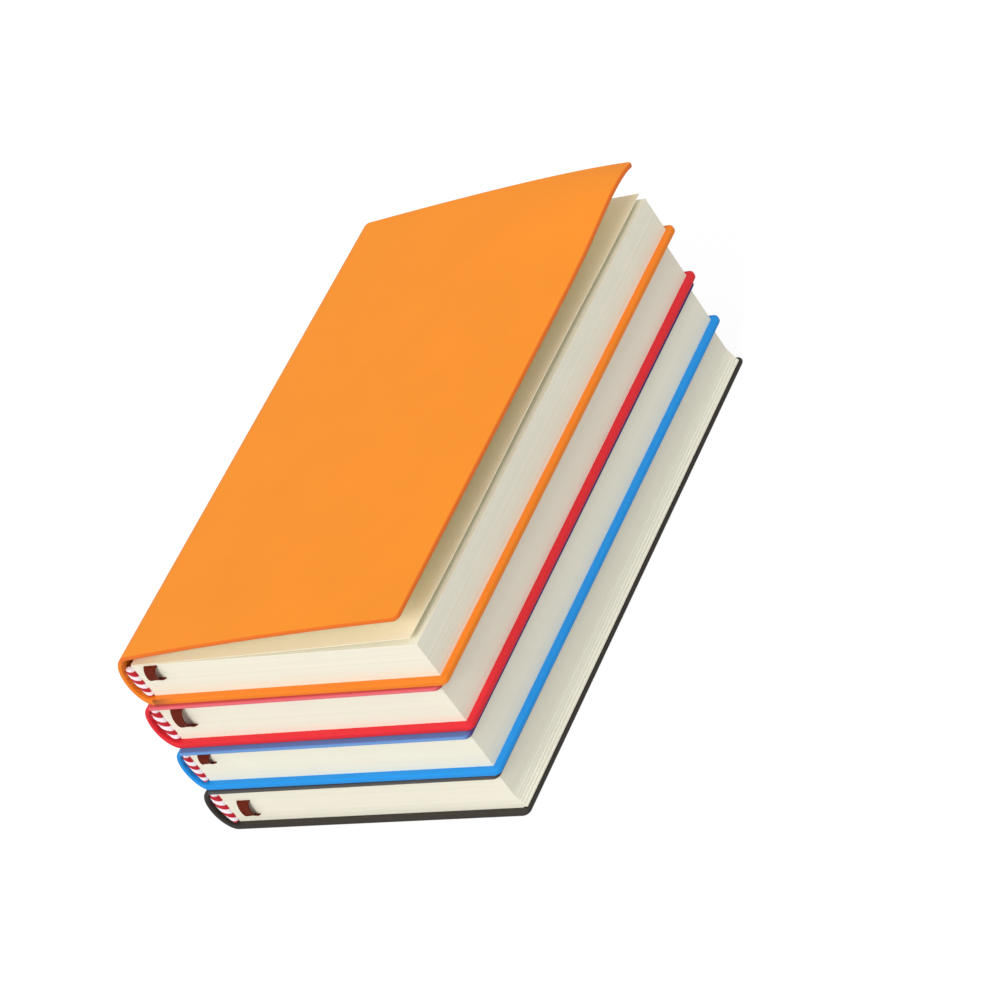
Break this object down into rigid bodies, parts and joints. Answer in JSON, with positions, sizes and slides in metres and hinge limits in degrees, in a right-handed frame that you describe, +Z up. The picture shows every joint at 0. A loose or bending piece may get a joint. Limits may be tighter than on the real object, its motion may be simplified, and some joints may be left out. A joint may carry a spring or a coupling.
{
  "type": "stack of notebooks",
  "caption": "Stack of soft-cover case-bound notebooks with rounded spines, striped headbands and ribbon markers; the top front cover is hinged and stands ajar.",
  "frame": {"origin": "centre of the stack's footprint, on the surface that it stands on", "axes": "+Z up through the stack, +Y from tail to head of the books, +X from spine to fore-edge"},
  "size_m": [0.1374, 0.2138, 0.0956],
  "materials": {
    "orange_cover": "satin, fine grained",
    "red_cover": "satin, fine grained",
    "blue_cover": "satin, fine grained",
    "black_cover": "satin, fine grained",
    "paper": "matt, uncoated",
    "headband_thread": "red and white thread",
    "ribbon_satin": "satin",
    "spine_cloth": "matt"
  },
  "bodies": {
    "stack": {"black_case": "black_cover", "black_pages": "paper", "black_front_endpaper": "paper", "black_back_endpaper": "paper", "black_spine_lining": "spine_cloth", "black_tail_headband": "headband_thread", "black_head_headband": "headband_thread", "black_ribbon": "ribbon_satin", "blue_case": "blue_cover", "blue_pages": "paper", "blue_front_endpaper": "paper", "blue_back_endpaper": "paper", "blue_spine_lining": "spine_cloth", "blue_tail_headband": "headband_thread", "blue_head_headband": "headband_thread", "blue_ribbon": "ribbon_satin", "red_case": "red_cover", "red_pages": "paper", "red_front_endpaper": "paper", "red_back_endpaper": "paper", "red_spine_lining": "spine_cloth", "red_tail_headband": "headband_thread", "red_head_headband": "headband_thread", "red_ribbon": "ribbon_satin", "orange_case": "orange_cover", "orange_pages": "paper", "orange_flyleaf": "paper", "orange_back_endpaper": "paper", "orange_spine_lining": "spine_cloth", "orange_tail_headband": "headband_thread", "orange_head_headband": "headband_thread", "orange_ribbon": "ribbon_satin"},
    "front_cover": {"orange_front_cover": "orange_cover", "orange_pastedown": "paper"}
  },
  "joints": [
    {"name": "orange_cover_hinge", "type": "hinge", "parent": "stack", "child": "front_cover", "pos_m": [-0.05378, 0, 0.0856], "axis": [0, -1, 0], "range_deg": [-4, 172]}
  ]
}
